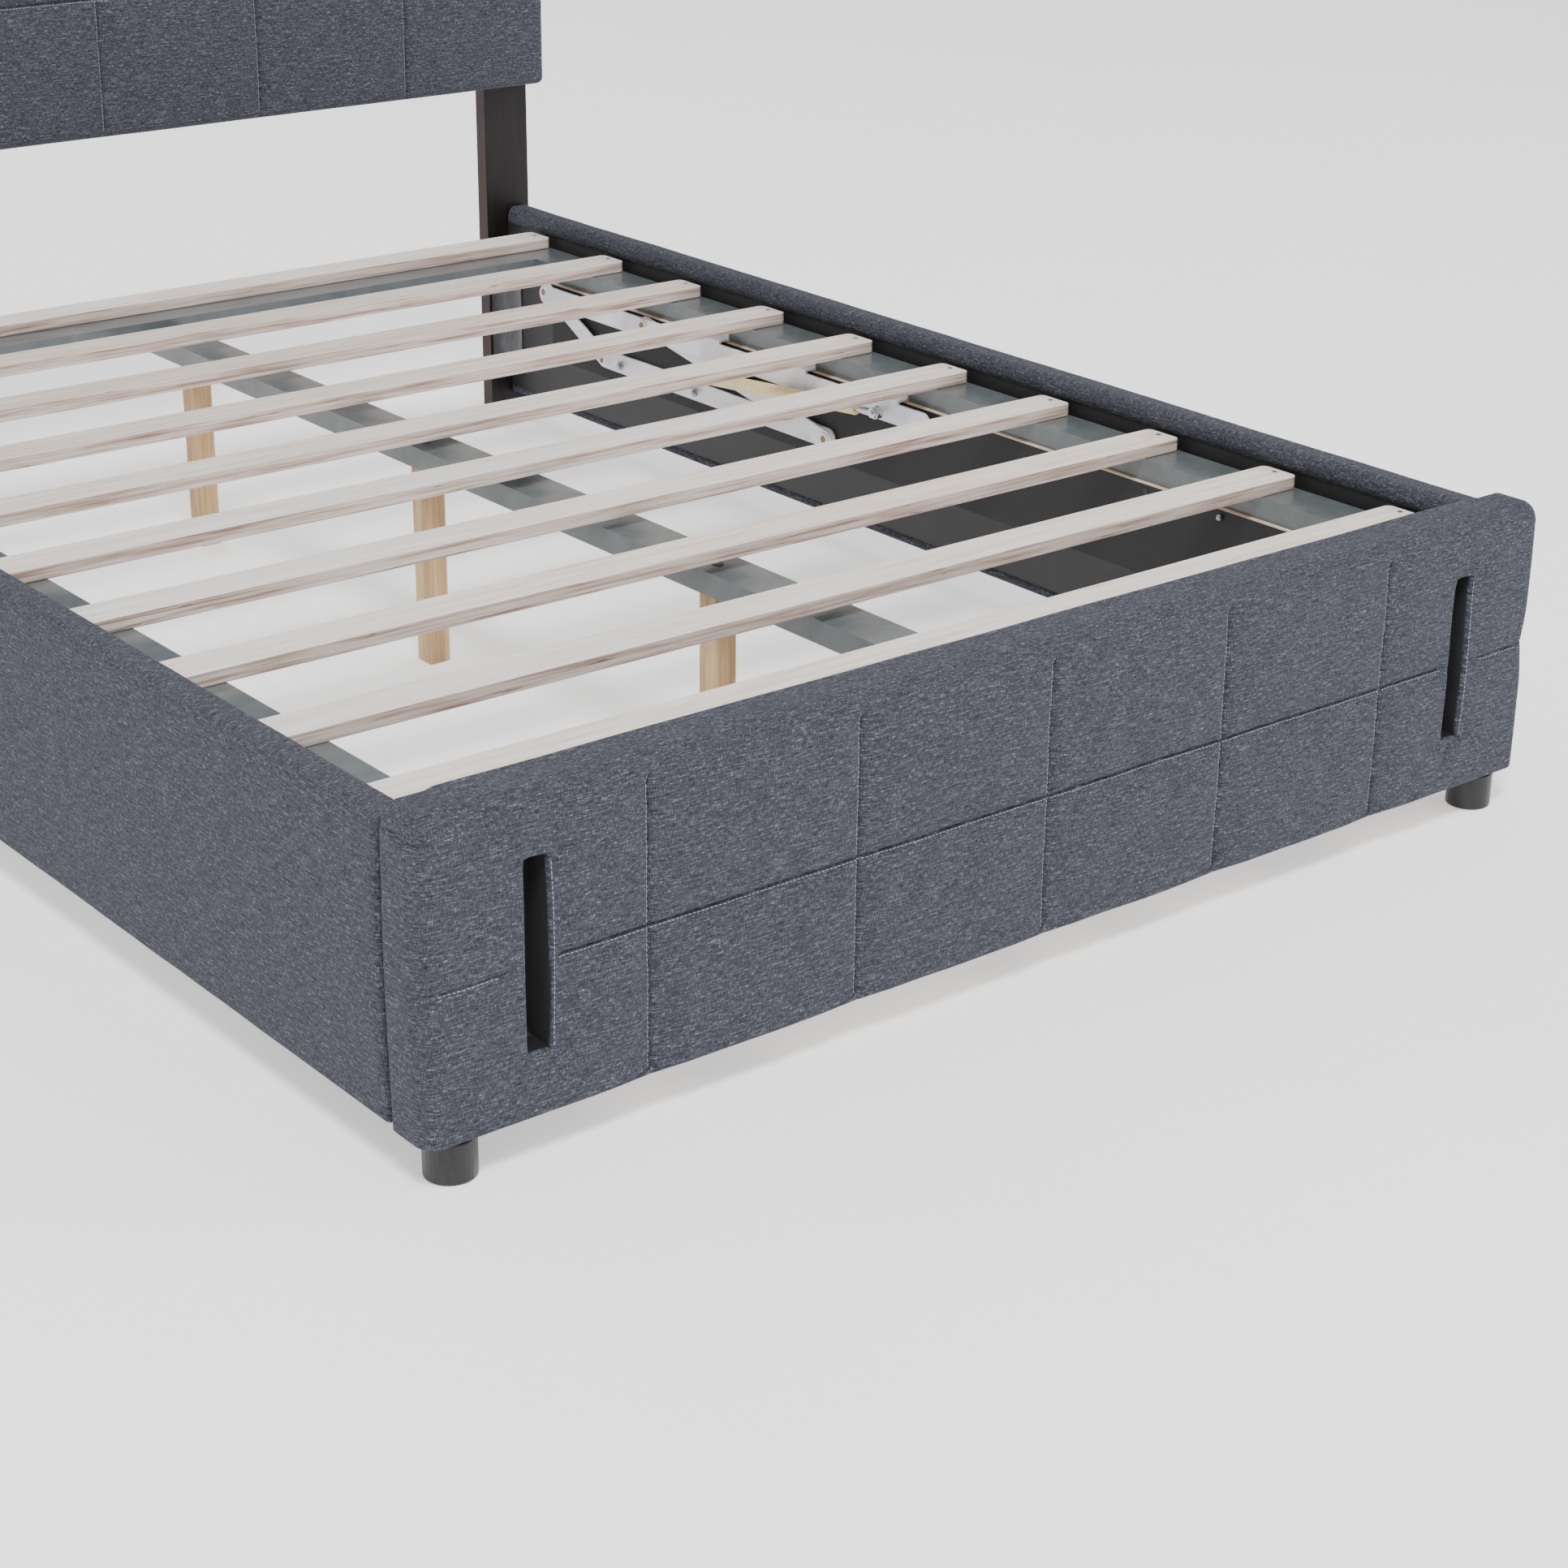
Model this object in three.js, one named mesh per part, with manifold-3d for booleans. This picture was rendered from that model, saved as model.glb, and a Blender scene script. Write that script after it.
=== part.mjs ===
// Upholstered platform bed with a lift-up slatted base over open storage.
// Millimetres, +Z up, +Y to the head, the origin on the floor under the middle of the bed.
import * as THREE from "three";
import { mergeVertices } from "three/addons/utils/BufferGeometryUtils.js";
import Module from "manifold-3d";

const wasm = await Module();
wasm.setup();

// ---- Driving dimensions ----
const GAP = 0.3; // between pieces that touch
const INNER_WIDTH = 1542; // between the side rails, for a 1524 mattress
const INNER_LENGTH = 2141; // footboard back to post face, for a 2032 mattress and its headboard

const FOOTBOARD = { depth: 70, bottom: 46, top: 400, pad: 17.7, capPad: 16, edge: 26 };
const ROLL = { overhang: 16, drop: 52, below: 2, edge: 20, sideClear: 5 }; // soft roll behind its top
const SLOT = { width: 26, bottom: 120, height: 210, edgeInset: 136, depth: 50 };
const PANEL = 12; // plywood skins of the footboard and the headboard
const CROSS_RAIL = 44; // height of the rails inside the footboard
const STILE = 60; // width of the stiles inside the footboard
const LINER_WALL = 2;
const LINING = 2.4; // black cloth on the inner faces
const CLOTH_ROOM = 1.5; // room for the cloth between the ledger and the base bar

const RAIL = { thickness: 45, bottom: 52, top: 383, pad: 12.7, board: 28, flap: 27, edge: 14, hem: 4 };
const FOOT = { radius: 28, fromEnd: 47, fromFront: 34 };

const LEDGER = { offset: 69, thickness: 12, top: 308, height: 128, footClear: 45, headClear: 251 };
const SPACER_HEIGHT = 100;

const TUBE = { width: 66, height: 30, wall: 1.5 };
const TUBE_INSET = 8; // between a side tube and the rail
const TUBE_FOOT_CLEAR = 70; // footboard back to the platform's end
const TUBE_HEAD_CLEAR = 85; // platform's end to the post face
const HEAD_TUBE_SETBACK = 45;
const BEAM = { width: 65, drop: 15 };
const SLAT = { count: 10, width: 60, thickness: 18, length: 1526, corner: 10 };
const LEG = { side: 33, count: 3, footOffset: 464, pitch: 660 };

const HEADBOARD = {
  overhang: 8, depth: 51, bottom: 596, height: 633, pad: 18, edgePad: 18, corner: 12,
};
const POST = { width: 86, thickness: 28, top: 1100 };
const BRACKET = { leg: 38, height: 150, bottom: 120, wall: 3 };

const PLATE = 4; // thickness of the lift mechanism's bars
const PLAY = 0.5; // side play between those bars
const BAR_HALF = 15.5; // half height of the base and upper bars
const LINK_HALF = 13;
const PIVOT = { radius: 6, play: 0.4, headRadius: 9, headHeight: 3 };
const BASE_BOLT = { radius: 7, height: 3.4, places: [325, 526] };
const STRUT = {
  radius: 10.5, rodRadius: 4.7, bore: 5.2, bodyLength: 352, rodInside: 234, setIn: 13.5, eye: 10,
};
const TAB = { width: 40, thickness: 3, lift: 1, height: 25, places: [-151, 63, 277] };
// Pivots, measured from the base bar's front pivot towards the head, and up from that pivot.
const BASE_PIVOT = { fromFootboard: 1155, height: 214 };
const BASE_SPAN = 575;
const FRONT_TOP = { along: 458, up: 82 };
const REAR_TOP = { along: 735, up: 82 };
const STRUT_BASE = { along: 258, up: 40 };
const STRUT_TOP = { along: -140, up: 77 };
const UPPER_BAR_FRONT = 100; // ahead of the strut's top pivot
const PAST = 10; // how far a cutting solid runs past the piece it cuts
const STUD_PAST = 8; // how far a strut's stud reaches past the middle of its eye
const BITE = 1; // how far joined solids reach into each other

// ---- Places worked out from them ----
const length = FOOTBOARD.depth + INNER_LENGTH + POST.thickness;
const halfWidth = INNER_WIDTH / 2 + RAIL.thickness;
const fromFoot = (distance) => distance - length / 2;
const footBack = fromFoot(FOOTBOARD.depth);
const postFace = fromFoot(FOOTBOARD.depth + INNER_LENGTH);
const ledgerTop = LEDGER.top;
const ledgerX = INNER_WIDTH / 2 - LEDGER.offset - LEDGER.thickness;
const tubeBottom = ledgerTop + GAP;
const tubeTop = tubeBottom + TUBE.height;
const slatBottom = tubeTop + GAP;
const slatTop = slatBottom + SLAT.thickness - 2 * GAP;
const tubeOuter = INNER_WIDTH / 2 - TUBE_INSET;
const tubeInner = tubeOuter - TUBE.width;
const platformFront = footBack + TUBE_FOOT_CLEAR;
const platformBack = postFace - TUBE_HEAD_CLEAR;
const slatPitch = (platformBack - platformFront - SLAT.width) / (SLAT.count - 1);
const slatFront = (i) => platformFront + i * slatPitch;
const headTubeBack = platformBack - HEAD_TUBE_SETBACK;
const beamTop = tubeTop - BEAM.drop;
const slotX = halfWidth - SLOT.edgeInset;

const baseBarX = ledgerX - CLOTH_ROOM - PLATE; // inner face of the base bar
const linkX = baseBarX - PLAY - PLATE;
const upperBarX = linkX - PLAY - PLATE;
const strutX = upperBarX - STRUT.setIn;
const pivotFrom = ({ along, up }) => [
  footBack + BASE_PIVOT.fromFootboard + along,
  BASE_PIVOT.height + up,
];
const baseFront = pivotFrom({ along: 0, up: 0 });
const baseRear = pivotFrom({ along: BASE_SPAN, up: 0 });
const frontTop = pivotFrom(FRONT_TOP);
const rearTop = pivotFrom(REAR_TOP);
const strutBase = pivotFrom(STRUT_BASE);
const strutTop = pivotFrom(STRUT_TOP);

// ---- Finishes ----
const finish = (color, roughness, metalness = 0) => () =>
  new THREE.MeshStandardMaterial({ color, roughness, metalness });
const fabric = finish(0x69707e, 0.95);
const blackCloth = finish(0x26272a, 0.9);
const plywood = finish(0xb99b78, 0.7);
const slatWood = finish(0xddd5cd, 0.6);
const legWood = finish(0xb8955f, 0.6);
const postWood = finish(0x2a2524, 0.5);
const paintedSteel = finish(0x6c7574, 0.45, 0.6);
const whiteSteel = finish(0xd6d6e0, 0.4, 0.3);
const zincSteel = finish(0xa9a9ad, 0.3, 0.9);
const creamSleeve = finish(0xe1cd97, 0.5);
const chrome = finish(0xd0d0d4, 0.12, 1);
const blackPlastic = finish(0x151516, 0.4);

// ---- Shape helpers ----
const AXIS = {
  x: new THREE.Vector3(1, 0, 0),
  y: new THREE.Vector3(0, 1, 0),
  z: new THREE.Vector3(0, 0, 1),
};

function box(x0, x1, y0, y1, z0, z1) {
  const size = new THREE.BoxGeometry(x1 - x0, y1 - y0, z1 - z0);
  return size.translate((x0 + x1) / 2, (y0 + y1) / 2, (z0 + z1) / 2);
}

// A section drawn in X and Z, run along Y from y0 to y1.
function alongY(section, y0, y1, curveSegments = 6) {
  const solid = new THREE.ExtrudeGeometry(section, {
    depth: y1 - y0,
    bevelEnabled: false,
    curveSegments,
  });
  const turn = new THREE.Matrix4().makeBasis(AXIS.x, AXIS.z, AXIS.y.clone().negate());
  return solid.applyMatrix4(turn).translate(0, y1, 0);
}

// A section drawn in Y and Z, run along X from x0 to x1.
function alongX(section, x0, x1, curveSegments = 6) {
  const solid = new THREE.ExtrudeGeometry(section, {
    depth: x1 - x0,
    bevelEnabled: false,
    curveSegments,
  });
  const turn = new THREE.Matrix4().makeBasis(AXIS.y, AXIS.z, AXIS.x);
  return solid.applyMatrix4(turn).translate(x0, 0, 0);
}

// A section drawn in X and Y, run up from z0 to z1.
function upwards(section, z0, z1, curveSegments = 4) {
  const solid = new THREE.ExtrudeGeometry(section, {
    depth: z1 - z0,
    bevelEnabled: false,
    curveSegments,
  });
  return solid.translate(0, 0, z0);
}

function rectangle(a0, a1, b0, b1) {
  const points = [[a0, b0], [a1, b0], [a1, b1], [a0, b1]];
  return new THREE.Shape(points.map(([a, b]) => new THREE.Vector2(a, b)));
}

// A rectangle whose two upper corners are round.
function roundTopped(a0, a1, b0, b1, radius) {
  const shape = new THREE.Shape();
  shape.moveTo(a0, b0);
  shape.lineTo(a1, b0);
  shape.lineTo(a1, b1 - radius);
  shape.absarc(a1 - radius, b1 - radius, radius, 0, Math.PI / 2, false);
  shape.absarc(a0 + radius, b1 - radius, radius, Math.PI / 2, Math.PI, false);
  return shape;
}

function roundedRectangle(a0, a1, b0, b1, radius) {
  const shape = new THREE.Shape();
  shape.moveTo(a0 + radius, b0);
  shape.absarc(a1 - radius, b0 + radius, radius, -Math.PI / 2, 0, false);
  shape.absarc(a1 - radius, b1 - radius, radius, 0, Math.PI / 2, false);
  shape.absarc(a0 + radius, b1 - radius, radius, Math.PI / 2, Math.PI, false);
  shape.absarc(a0 + radius, b0 + radius, radius, Math.PI, 1.5 * Math.PI, false);
  return shape;
}

function tubeSection(a0, a1, b0, b1, wall) {
  const shape = rectangle(a0, a1, b0, b1);
  shape.holes.push(rectangle(a0 + wall, a1 - wall, b0 + wall, b1 - wall));
  return shape;
}

// A flat bar with round ends between two points, and a round hole at each place listed.
function strap(from, to, half, holes = [], holeRadius = 0) {
  const angle = Math.atan2(to[1] - from[1], to[0] - from[0]);
  const shape = new THREE.Shape();
  shape.absarc(to[0], to[1], half, angle - Math.PI / 2, angle + Math.PI / 2, false);
  shape.absarc(from[0], from[1], half, angle + Math.PI / 2, angle + 1.5 * Math.PI, false);
  shape.closePath();
  for (const [a, b] of holes) {
    shape.holes.push(new THREE.Path().absarc(a, b, holeRadius, 0, 2 * Math.PI, true));
  }
  return shape;
}

function disc(centre, radius) {
  return new THREE.Shape().absarc(centre[0], centre[1], radius, 0, 2 * Math.PI, false);
}

function toSolid(geometry) {
  const bare = geometry.index ? geometry.clone() : geometry;
  for (const name of ["normal", "uv"]) bare.deleteAttribute(name);
  const merged = mergeVertices(bare, 1e-3);
  return new wasm.Manifold(
    new wasm.Mesh({
      numProp: 3,
      vertProperties: merged.attributes.position.array,
      triVerts: new Uint32Array(merged.index.array),
    }),
  );
}

function toGeometry(solid) {
  const mesh = solid.getMesh();
  const geometry = new THREE.BufferGeometry();
  geometry.setAttribute("position", new THREE.BufferAttribute(mesh.vertProperties, 3));
  geometry.setIndex(new THREE.BufferAttribute(mesh.triVerts, 1));
  geometry.computeVertexNormals();
  return geometry;
}

const joined = (pieces) =>
  toGeometry(pieces.map(toSolid).reduce((whole, piece) => whole.add(piece)));
const cut = (body, tools) =>
  toGeometry(tools.map(toSolid).reduce((rest, tool) => rest.subtract(tool), toSolid(body)));

const bed = new THREE.Group();

function add(name, geometry, material) {
  const mesh = new THREE.Mesh(geometry, material());
  mesh.name = name;
  bed.add(mesh);
}

// Runs a maker for the left (-1) and the right (+1) side.
function eachSide(make) {
  make("left", -1);
  make("right", 1);
}

// A box whose X range is given on the right side and mirrored for the left.
const sideBox = (side, x0, x1, ...rest) =>
  side > 0 ? box(x0, x1, ...rest) : box(-x1, -x0, ...rest);
const sideAlongX = (side, section, x0, x1, segments) =>
  side > 0 ? alongX(section, x0, x1, segments) : alongX(section, -x1, -x0, segments);

// ---- Footboard ----
const padBack = fromFoot(FOOTBOARD.pad);
const panelBack = padBack + GAP + PANEL;
const backPanelFront = footBack - PANEL;
const coreTop = FOOTBOARD.top - FOOTBOARD.capPad - GAP;
const coreBottom = FOOTBOARD.bottom;
const coreHalf = halfWidth - FOOTBOARD.capPad - GAP;

const slotCutter = (side, extra) =>
  sideBox(
    side,
    slotX - SLOT.width / 2 - extra,
    slotX + SLOT.width / 2 + extra,
    fromFoot(-PAST),
    panelBack + PAST,
    SLOT.bottom - extra,
    SLOT.bottom + SLOT.height + extra,
  );

function footboard() {
  const face = fromFoot(0);
  const outer = roundTopped(face, footBack, coreBottom, FOOTBOARD.top, FOOTBOARD.edge);
  const rollFront = footBack - ROLL.overhang * 2;
  const rollBack = footBack + ROLL.overhang;
  const roll = roundedRectangle(
    rollFront,
    rollBack,
    FOOTBOARD.top - ROLL.below - ROLL.drop,
    FOOTBOARD.top - ROLL.below,
    ROLL.edge,
  );
  const rollHalf = INNER_WIDTH / 2 - ROLL.sideClear;
  const padded = joined([
    alongX(outer, -halfWidth, halfWidth),
    alongX(roll, -rollHalf, rollHalf),
  ]);
  const hollowTo = (back, top) =>
    box(-coreHalf - GAP, coreHalf + GAP, padBack, back, coreBottom - PAST, top);
  const hollow = hollowTo(rollBack + PAST, coreTop - ROLL.drop);
  const hollowTop = hollowTo(footBack + GAP, coreTop + GAP);
  const slots = [slotCutter(-1, 0), slotCutter(1, 0)];
  add("footboard_cover", cut(padded, [hollow, hollowTop, ...slots]), fabric);

  const linerCut = LINER_WALL + GAP;
  add(
    "footboard_front_panel",
    cut(box(-coreHalf, coreHalf, padBack + GAP, panelBack, coreBottom, coreTop), [
      slotCutter(-1, linerCut),
      slotCutter(1, linerCut),
    ]),
    plywood,
  );
  add(
    "footboard_back_panel",
    box(-coreHalf, coreHalf, backPanelFront, backPanelFront + PANEL, coreBottom, coreTop),
    plywood,
  );
  const [frameFront, frameBack] = [panelBack + GAP, backPanelFront - GAP];
  const crossRail = (z) =>
    box(-coreHalf, coreHalf, frameFront, frameBack, z, z + CROSS_RAIL);
  add("footboard_top_rail", crossRail(coreTop - CROSS_RAIL), plywood);
  add("footboard_bottom_rail", crossRail(coreBottom), plywood);
  const [stileLow, stileHigh] = [coreBottom + CROSS_RAIL + GAP, coreTop - CROSS_RAIL - GAP];
  eachSide((word, side) => {
    add(
      `footboard_stile_${word}`,
      sideBox(side, coreHalf - STILE, coreHalf, frameFront, frameBack, stileLow, stileHigh),
      plywood,
    );
    const x0 = slotX - SLOT.width / 2;
    const x1 = slotX + SLOT.width / 2;
    const [z0, z1] = [SLOT.bottom, SLOT.bottom + SLOT.height];
    const back = fromFoot(SLOT.depth);
    const w = LINER_WALL;
    const outside = sideBox(side, x0 - w, x1 + w, padBack + GAP, back + w, z0 - w, z1 + w);
    const inside = sideBox(side, x0, x1, padBack - PAST, back, z0, z1);
    add(`slot_liner_${word}`, cut(outside, [inside]), blackCloth);
  });
}

// ---- Side rails and the ledgers that carry the platform ----
function sideRails() {
  const [y0, y1] = [footBack + GAP, postFace - GAP];
  const inner = INNER_WIDTH / 2;
  const boardInner = inner + (RAIL.thickness - RAIL.pad - RAIL.board);
  const boardOuter = boardInner + RAIL.board;
  const boardTop = RAIL.top - RAIL.pad;
  const past = [y0 - PAST, y1 + PAST];
  eachSide((word, side) => {
    const [a, b] = side > 0 ? [inner, halfWidth] : [-halfWidth, -inner];
    const section = roundTopped(a, b, RAIL.bottom, RAIL.top, RAIL.edge);
    const boardSpace = sideBox(
      side, boardInner - GAP, boardOuter + GAP, ...past, RAIL.bottom - PAST, boardTop + GAP,
    );
    const belowFlap = sideBox(
      side, inner - PAST, boardInner, ...past, RAIL.bottom - PAST, RAIL.top - RAIL.flap,
    );
    add(`side_rail_cover_${word}`, cut(alongY(section, y0, y1), [boardSpace, belowFlap]), fabric);
    const board = sideBox(side, boardInner, boardOuter, y0, y1, RAIL.bottom, boardTop);
    add(`side_rail_board_${word}`, board, plywood);
    const liningOuter = boardInner - GAP;
    add(
      `side_rail_lining_${word}`,
      sideBox(
        side, liningOuter - LINING, liningOuter, y0, y1, RAIL.bottom + RAIL.hem, RAIL.top - RAIL.flap - GAP,
      ),
      blackCloth,
    );
    const along = [y0 + LEDGER.footClear, y1 - LEDGER.headClear];
    const ledgerBack = ledgerX + LEDGER.thickness;
    add(
      `ledger_board_${word}`,
      sideBox(side, ledgerX, ledgerBack, ...along, ledgerTop - LEDGER.height, ledgerTop),
      plywood,
    );
    const spacerLow = ledgerTop - (LEDGER.height + SPACER_HEIGHT) / 2;
    add(
      `ledger_spacer_${word}`,
      sideBox(
        side, ledgerBack + GAP, liningOuter - LINING - GAP, ...along, spacerLow, spacerLow + SPACER_HEIGHT,
      ),
      plywood,
    );
  });
}

function feet() {
  eachSide((word, side) => {
    const foot = new THREE.CylinderGeometry(
      FOOT.radius, FOOT.radius, FOOTBOARD.bottom - GAP, 32,
    ).rotateX(Math.PI / 2);
    foot.translate(
      side * (halfWidth - FOOT.fromEnd),
      fromFoot(FOOT.fromFront),
      (FOOTBOARD.bottom - GAP) / 2,
    );
    add(`foot_${word}`, foot, blackPlastic);
  });
}

// ---- Headboard on its two posts ----
function headboard() {
  const back = postFace - GAP;
  const front = back - HEADBOARD.depth + GAP;
  const half = halfWidth + HEADBOARD.overhang;
  const top = HEADBOARD.bottom + HEADBOARD.height;
  const [coreLow, coreHigh] = [HEADBOARD.bottom + HEADBOARD.edgePad, top - HEADBOARD.edgePad];
  const coreWide = half - HEADBOARD.edgePad;
  const panelFront = front + HEADBOARD.pad;
  const outline = roundedRectangle(-half, half, HEADBOARD.bottom, top, HEADBOARD.corner);
  const hollow = box(-coreWide, coreWide, panelFront, back + PAST, coreLow, coreHigh);
  add("headboard_cover", cut(alongY(outline, front, back), [hollow]), fabric);
  const inside = (y0, y1, z0, z1) =>
    box(-coreWide + GAP, coreWide - GAP, y0, y1, z0, z1);
  const panelBackY = panelFront + GAP + PANEL;
  add(
    "headboard_panel",
    inside(panelFront + GAP, panelBackY, coreLow + GAP, coreHigh - GAP),
    plywood,
  );
  add(
    "headboard_back_board",
    inside(panelBackY + GAP, back, coreLow + GAP, coreHigh - GAP),
    blackCloth,
  );
  eachSide((word, side) => {
    const post = sideBox(
      side, halfWidth - POST.width, halfWidth, postFace, postFace + POST.thickness, 0, POST.top,
    );
    add(`headboard_post_${word}`, post, postWood);
  });
}

// ---- Steel angles that join the rails to the footboard and the posts ----
function corners() {
  const liningFace = INNER_WIDTH / 2 + RAIL.thickness - RAIL.pad - RAIL.board - GAP - LINING;
  const outer = liningFace - GAP;
  const heights = [BRACKET.bottom, BRACKET.bottom + BRACKET.height];
  eachSide((word, side) => {
    for (const [end, wallY, inward] of [["foot", footBack + GAP, 1], ["head", postFace - GAP, -1]]) {
      const span = (depth) => [wallY, wallY + inward * depth].sort((p, q) => p - q);
      add(
        `corner_bracket_${end}_${word}`,
        joined([
          sideBox(side, outer - BRACKET.leg, outer, ...span(BRACKET.wall), ...heights),
          sideBox(side, outer - BRACKET.wall, outer, ...span(BRACKET.leg), ...heights),
        ]),
        zincSteel,
      );
    }
  });
}

// ---- Platform: steel frame, slats and legs ----
function platform() {
  eachSide((word, side) => {
    const [a, b] = side > 0 ? [tubeInner, tubeOuter] : [-tubeOuter, -tubeInner];
    const section = tubeSection(a, b, tubeBottom, tubeTop, TUBE.wall);
    add(`side_tube_${word}`, alongY(section, platformFront, platformBack), paintedSteel);
  });
  const crossTube = (y0) =>
    alongX(
      tubeSection(y0, y0 + TUBE.width, tubeBottom, tubeTop, TUBE.wall),
      -tubeInner + GAP,
      tubeInner - GAP,
    );
  const headTubeFront = headTubeBack - TUBE.width;
  const footTubeBack = platformFront + TUBE.width;
  add("foot_tube", crossTube(platformFront), paintedSteel);
  add("head_tube", crossTube(headTubeFront), paintedSteel);
  const beam = tubeSection(-BEAM.width / 2, BEAM.width / 2, beamTop - TUBE.height, beamTop, TUBE.wall);
  add("centre_beam", alongY(beam, footTubeBack + GAP, headTubeFront - GAP), paintedSteel);

  for (let i = 0; i < SLAT.count; i += 1) {
    const y = slatFront(i);
    const outline = roundedRectangle(
      -SLAT.length / 2, SLAT.length / 2, y, y + SLAT.width, SLAT.corner,
    );
    add(`slat_${i + 1}`, upwards(outline, slatBottom, slatTop), slatWood);
  }
  for (let i = 0; i < LEG.count; i += 1) {
    const y = platformFront + LEG.footOffset + i * LEG.pitch;
    const half = LEG.side / 2;
    const legTop = beamTop - TUBE.height - GAP;
    add(`centre_leg_${i + 1}`, box(-half, half, y - half, y + half, 0, legTop), legWood);
  }
}

// ---- Lift mechanism on each ledger ----
// The strut lies along the line from its pivot on the front link to its pivot on the upper bar.
function strutPieces(side, word) {
  const [dy, dz] = [strutTop[0] - strutBase[0], strutTop[1] - strutBase[1]];
  const closed = Math.hypot(dy, dz);
  const direction = new THREE.Vector3(0, dy, dz).normalize();
  const lay = (radius, from, to, sides) => {
    const rod = new THREE.CylinderGeometry(radius, radius, to - from, sides);
    rod.translate(0, (from + to) / 2, 0);
    rod.applyQuaternion(new THREE.Quaternion().setFromUnitVectors(AXIS.y, direction));
    return rod.translate(side * strutX, strutBase[0], strutBase[1]);
  };
  const eyeHalf = STRUT.eye / 2;
  const eye = (centre) =>
    sideAlongX(side, disc(centre, STRUT.eye), strutX - eyeHalf, strutX + eyeHalf, 6);
  const studHole = disc(strutBase, PIVOT.radius + PIVOT.play);
  const stud = sideAlongX(side, studHole, strutX - eyeHalf - PAST, strutX + eyeHalf + PAST, 6);
  const bore = lay(STRUT.bore, STRUT.eye, STRUT.bodyLength + PAST, 12);
  const sleeve = lay(STRUT.radius, STRUT.eye - 3 * BITE, STRUT.bodyLength, 20);
  add(
    `strut_cylinder_${word}`,
    cut(joined([sleeve, eye(strutBase)]), [stud, bore]),
    creamSleeve,
  );
  const rod = lay(STRUT.rodRadius, STRUT.bodyLength - STRUT.rodInside + STRUT.eye, closed, 12);
  add(`strut_rod_${word}`, joined([rod, eye(strutTop)]), chrome);
}

function liftMechanism() {
  const hole = PIVOT.radius + PIVOT.play;
  const plate = (side, outline, x) => sideAlongX(side, outline, x, x + PLATE);
  eachSide((word, side) => {
    const rivets = [baseFront, baseRear].flatMap((centre) => {
      const head = linkX - PLAY;
      return [
        sideAlongX(side, disc(centre, PIVOT.headRadius), head - PIVOT.headHeight, head),
        sideAlongX(side, disc(centre, PIVOT.radius), head - BITE, baseBarX + BITE),
      ];
    });
    const bolts = BASE_BOLT.places.map((along) => {
      const head = disc([baseFront[0] + along, baseFront[1]], BASE_BOLT.radius);
      return sideAlongX(side, head, baseBarX - BASE_BOLT.height, baseBarX + BITE, 3);
    });
    const base = plate(side, strap(baseFront, baseRear, BAR_HALF), baseBarX);
    add(`lift_base_bar_${word}`, joined([base, ...rivets, ...bolts]), whiteSteel);

    const rear = strap(baseRear, rearTop, LINK_HALF, [baseRear], hole);
    add(`rear_link_${word}`, plate(side, rear, linkX), whiteSteel);
    const front = strap(baseFront, frontTop, LINK_HALF, [baseFront], hole);
    const stud = sideAlongX(side, disc(strutBase, PIVOT.radius), strutX - STUD_PAST, linkX + BITE, 6);
    add(`front_link_${word}`, joined([plate(side, front, linkX), stud]), whiteSteel);

    const barMiddle = strutTop[1];
    const barFront = strutTop[0] - UPPER_BAR_FRONT + BAR_HALF;
    const upper = strap([barFront, barMiddle], [rearTop[0], barMiddle], BAR_HALF);
    const tabInner = tubeInner - GAP - TAB.thickness;
    const tabLow = ledgerTop + TAB.lift;
    const tabs = TAB.places.flatMap((along) => {
      const y = baseFront[0] + along - TAB.width / 2;
      const range = [y, y + TAB.width];
      return [
        sideBox(side, upperBarX, upperBarX + PLATE, ...range, barMiddle, tabLow + TAB.thickness),
        sideBox(side, upperBarX, tubeInner - GAP, ...range, tabLow, tabLow + TAB.thickness),
        sideBox(side, tabInner, tubeInner - GAP, ...range, tabLow, tabLow + TAB.height),
      ];
    });
    const heads = [frontTop, rearTop].map((centre) =>
      sideAlongX(side, disc(centre, PIVOT.headRadius), upperBarX - PIVOT.headHeight, upperBarX + BITE),
    );
    const studInner = strutX + STRUT.eye / 2 + PLAY;
    const topStud = sideAlongX(side, disc(strutTop, PIVOT.headRadius), studInner, upperBarX + BITE);
    add(
      `lift_upper_bar_${word}`,
      joined([plate(side, upper, upperBarX), ...tabs, ...heads, topStud]),
      whiteSteel,
    );
    strutPieces(side, word);
  });
}

footboard();
sideRails();
feet();
headboard();
corners();
platform();
liftMechanism();

export default bed;
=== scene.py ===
"""Upholstered platform bed with a lift-up slatted base: the finished look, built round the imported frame."""
import math

import bpy
import numpy as np
from mathutils import Matrix, Vector, noise


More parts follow.
